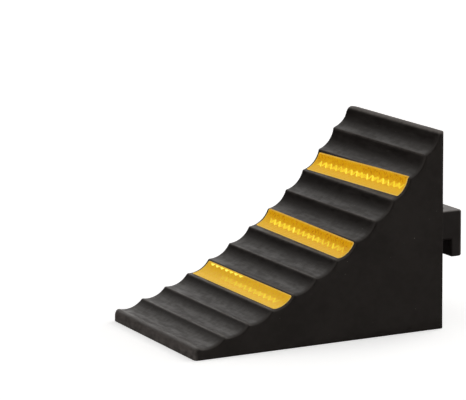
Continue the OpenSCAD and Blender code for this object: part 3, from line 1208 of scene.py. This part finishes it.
def film_plastic():
    """Golden prismatic film with a pale sealed border, paler towards its lower edge and near the ground.
    Its cells carry painted glints, and the whole film glows a little as painted light."""
    n = Nodes("reflective_film")

    def mark(name):
        node = n.add("Attribute", attribute_type="GEOMETRY", attribute_name=name)
        return node.outputs["Fac"]

    grain = n.noise(1.1, 2, 0.6)
    fleck = n.noise(2.6, 3, 0.6)
    cloud = n.noise(16, 3)
    gold = n.blend((0.58, 0.220, 0.0006, 1), (0.80, 0.395, 0.0015, 1), n.span(fleck, 0.38, 0.62))
    gold = n.blend(gold, (0.90, 0.49, 0.006, 1), n.math("MULTIPLY", n.span(cloud, 0.42, 0.7), 0.35))
    # Paler towards the lower edge: painted light, where the tape's curve faces up
    gold = n.blend(gold, (0.97, 0.555, 0.036, 1), n.span(mark("rise"), 0.85, 0.2, 0.0, 0.9))
    low = n.span(n.millimetres()[2], 75, 45, 0.0, 0.5)
    gold = n.blend(gold, (0.98, 0.63, 0.045, 1), low)
    gold = n.blend(gold, (0.98, 0.62, 0.006, 1), n.math("MULTIPLY", n.span(grain, 0.5, 0.66), 0.3))
    seal = n.blend(gold, (0.92, 0.50, 0.006, 1), n.math("MULTIPLY", mark("seal"), 0.35))
    # Painted glints: the flashing cells made pale yellow and given emission of their own
    share = n.math("MULTIPLY", mark("glint"), n.span(grain, 0.30, 0.56, 0.4, 1.0), clamp=True)
    with_painted_glints = n.blend(seal, (1.0, 0.84, 0.045, 1), share)
    with_painted_glints = n.blend(with_painted_glints, (1.0, 0.91, 0.20, 1), n.span(share, 0.7, 1.0, 0.0, 0.7))
    colour = n.blend(with_painted_glints, (0.94, 0.62, 0.11, 1), n.math("MULTIPLY", mark("border"), 0.45))
    rough = n.span(fleck, 0.3, 0.7, 0.36, 0.5)
    n.put(n.shader.inputs["Emission Color"], colour)
    n.put(n.shader.inputs["Emission Strength"], n.math("MULTIPLY_ADD", share, FLASH_STRENGTH, FILM_GLOW))
    return n.finish(colour, rough, n.bump(grain, 0.05), Specular_IOR_Level=0.12)


def adhesive_foam():
    """The cream adhesive that shows at the tapes' edges."""
    n = Nodes("tape_adhesive")
    grain = n.noise(0.8, 3)
    colour = n.blend((0.62, 0.52, 0.26, 1), (0.80, 0.72, 0.48, 1), n.span(grain, 0.3, 0.7))
    return n.finish(colour, n.span(grain, 0.3, 0.7, 0.6, 0.8), n.bump(grain, 0.05))


def black_steel():
    """Powder-coated steel, with orange peel and a little wear."""
    n = Nodes("black_steel")
    peel = n.noise(1.6, 2)
    wear = n.span(n.noise(6, 5, 0.7), 0.66, 0.72)
    colour = n.blend((0.014, 0.014, 0.015, 1), (0.05, 0.048, 0.046, 1), wear)
    return n.finish(colour, n.span(peel, 0.3, 0.7, 0.3, 0.42), n.bump(peel, 0.06))


def zinc_steel():
    """Bright zinc plate with faint stains."""
    n = Nodes("zinc_steel")
    stain = n.noise(5, 4, 0.65)
    fine = n.noise(0.7, 2)
    colour = n.blend((0.46, 0.46, 0.45, 1), (0.66, 0.67, 0.69, 1), n.span(stain, 0.3, 0.7))
    return n.finish(colour, n.span(fine, 0.3, 0.7, 0.28, 0.42), n.bump(fine, 0.02), Metallic=1.0)


# -------------------- stage

# The camera's angles, its place in metres and its focal length in millimetres
CAMERA_AZIMUTH = math.radians(-26.652)
CAMERA_ELEVATION = math.radians(11.116)
CAMERA_ROLL = math.radians(-0.498)
CAMERA_PLACE = (-1.33024, -2.54895, 0.70088)
CAMERA_LENS = 213.9


def make_camera():
    data = bpy.data.cameras.new("camera")
    data.lens = CAMERA_LENS
    data.sensor_width = 36
    data.clip_start, data.clip_end = 0.1, 60
    camera = add_object("camera", data)
    ca, sa = math.cos(CAMERA_AZIMUTH), math.sin(CAMERA_AZIMUTH)
    ce, se = math.cos(CAMERA_ELEVATION), math.sin(CAMERA_ELEVATION)
    right = Vector((ca, sa, 0))
    back = Vector((sa * ce, -ca * ce, se))
    turn = Matrix((right, back.cross(right), back)).transposed().to_4x4()
    camera.matrix_world = Matrix.Translation(CAMERA_PLACE) @ turn @ Matrix.Rotation(CAMERA_ROLL, 4, "Z")
    bpy.context.scene.camera = camera


FLOOR_REACH = 25.0
FLOOR_GLOW = 0.555


def make_floor():
    """A pale floor, wide enough to fill the view, with a glow of its own."""
    mesh = bpy.data.meshes.new("floor")
    signs = ((-1, -1), (1, -1), (1, 1), (-1, 1))
    mesh.from_pydata([(a * FLOOR_REACH, b * FLOOR_REACH, 0) for a, b in signs], [], [(0, 1, 2, 3)])
    floor = add_object("floor", mesh)
    n = Nodes("floor")
    cloud = n.noise(400, 2)
    colour = n.blend((0.84, 0.84, 0.84, 1), (0.87, 0.87, 0.87, 1), cloud)
    mesh.materials.append(n.finish(colour, 0.9, Specular_IOR_Level=0.1))
    n.shader.inputs["Emission Color"].default_value = (1, 1, 1, 1)
    n.shader.inputs["Emission Strength"].default_value = FLOOR_GLOW
    floor.visible_glossy = False


# The studio's soft lights, each as the way to its middle, the half angle in
# degrees over which it fades out, and its strength.
SOFT_LIGHTS = (
    ((0.44, 0.877, 0.02), 20, 0.96),
    ((0.33, 0.877, 0.35), 20, 0.54),
    ((0.12, 0.877, 0.46), 20, 0.56),
    ((-0.2, 0.25, 1.0), 54, 0.72),
    ((-0.95, 0.1, 0.2), 40, 0.5),
    ((0.92, 0.1, 0.38), 50, 2.4),
    ((0.44, -0.877, 0.08), 38, 0.25),
)
LIGHT_COLOUR = (1, 0.985, 0.965, 1)


def make_world():
    """A dark studio with soft lights behind the object, above it, to its sides and,
    faintly, in front of it."""
    world = bpy.data.worlds.new("studio")
    bpy.context.scene.world = world
    world.use_nodes = True
    tree = world.node_tree
    way = tree.nodes.new("ShaderNodeTexCoord").outputs["Generated"]
    total = None
    for middle, half, strength in SOFT_LIGHTS:
        dot = tree.nodes.new("ShaderNodeVectorMath")
        dot.operation = "DOT_PRODUCT"
        tree.links.new(way, dot.inputs[0])
        dot.inputs[1].default_value = Vector(middle).normalized()
        span = tree.nodes.new("ShaderNodeMapRange")
        span.interpolation_type = "SMOOTHSTEP"
        span.inputs["From Min"].default_value = math.cos(math.radians(half))
        span.inputs["From Max"].default_value = 1.0
        span.inputs["To Max"].default_value = strength
        tree.links.new(dot.outputs["Value"], span.inputs["Value"])
        if total is None:
            total = span.outputs[0]
        else:
            add = tree.nodes.new("ShaderNodeMath")
            tree.links.new(total, add.inputs[0])
            tree.links.new(span.outputs[0], add.inputs[1])
            total = add.outputs[0]
    background = tree.nodes["Background"]
    background.inputs["Color"].default_value = LIGHT_COLOUR
    tree.links.new(total, background.inputs["Strength"])


def main():
    bpy.context.scene.view_settings.view_transform = "Standard"
    make_camera()
    make_floor()
    make_world()
    make_wedge(wedge_rubber())
    film, adhesive = film_plastic(), adhesive_foam()
    for strip in STRIPS:
        make_film(strip, film)
        make_adhesive(strip, adhesive)
    make_grip(grip_rubber())
    make_core(black_steel())
    zinc = zinc_steel()
    make_fasteners(zinc)
    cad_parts["threaded_inserts"].data.materials[0] = zinc


main()
